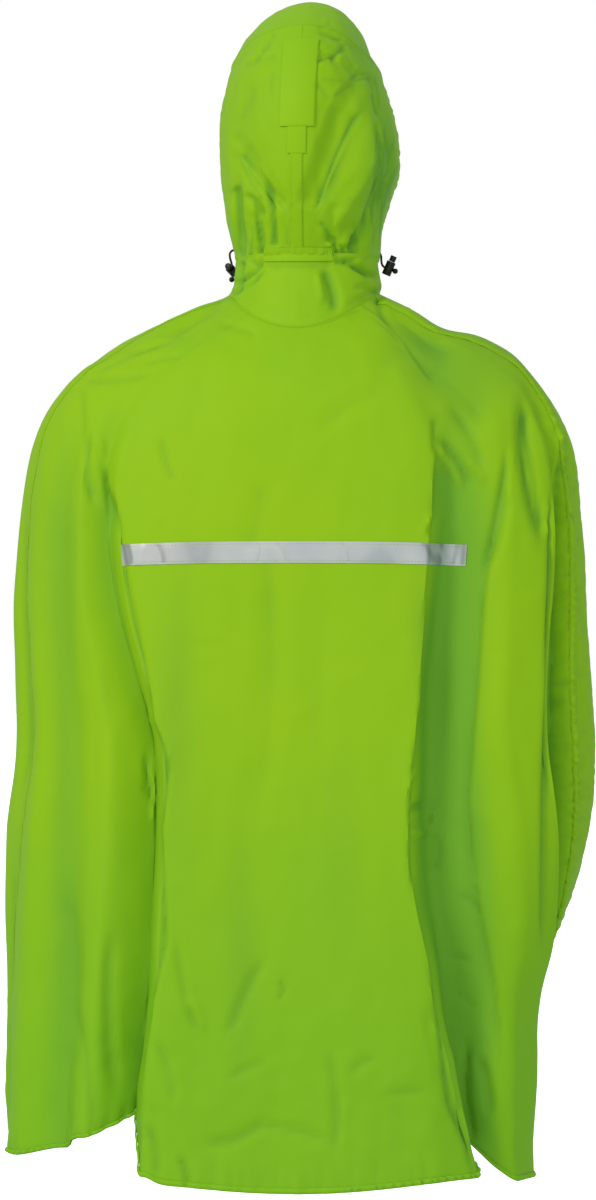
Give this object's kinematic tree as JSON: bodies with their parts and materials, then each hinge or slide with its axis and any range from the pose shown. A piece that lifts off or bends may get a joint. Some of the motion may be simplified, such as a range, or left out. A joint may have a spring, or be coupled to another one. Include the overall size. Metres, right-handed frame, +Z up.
{
  "type": "rain poncho",
  "caption": "Hooded pull-over rain poncho hanging open as worn, with a stitched reflective tape across the back, a hood adjuster tab and neck cord locks.",
  "frame": {"origin": "base of the neck between the shoulders, where the garment rests on its wearer", "axes": "+Z up along the garment's height, -Y towards its front, +X towards its left side"},
  "size_m": [0.6753, 0.4396, 1.3385],
  "materials": {
    "coated_cloth": "thin coated nylon, lime green, soft sheen, fine plain weave",
    "reflective_tape": "silver grey retroreflective fabric tape",
    "cord": "black braided elastic cord",
    "black_plastic": "black moulded plastic"
  },
  "bodies": {
    "root": {"back_panel": "coated_cloth", "front_panel": "coated_cloth", "hem_band_back": "coated_cloth", "hem_band_front": "coated_cloth", "side_band_left": "coated_cloth", "side_band_right": "coated_cloth", "reflective_tape": "reflective_tape", "collar": "coated_cloth", "hood_left": "coated_cloth", "hood_right": "coated_cloth", "hood_peak": "coated_cloth", "hood_tab": "coated_cloth", "strap_stub": "coated_cloth", "hood_strap": "coated_cloth", "neck_band": "coated_cloth", "face_band_left": "coated_cloth", "face_band_right": "coated_cloth", "brow_band": "coated_cloth", "drawcord_left": "cord", "drawcord_right": "cord", "cord_lock_left": "black_plastic", "cord_lock_right": "black_plastic", "lock_plunger_left": "black_plastic", "lock_plunger_right": "black_plastic", "cord_bead_left": "black_plastic", "cord_bead_right": "black_plastic"}
  },
  "joints": []
}
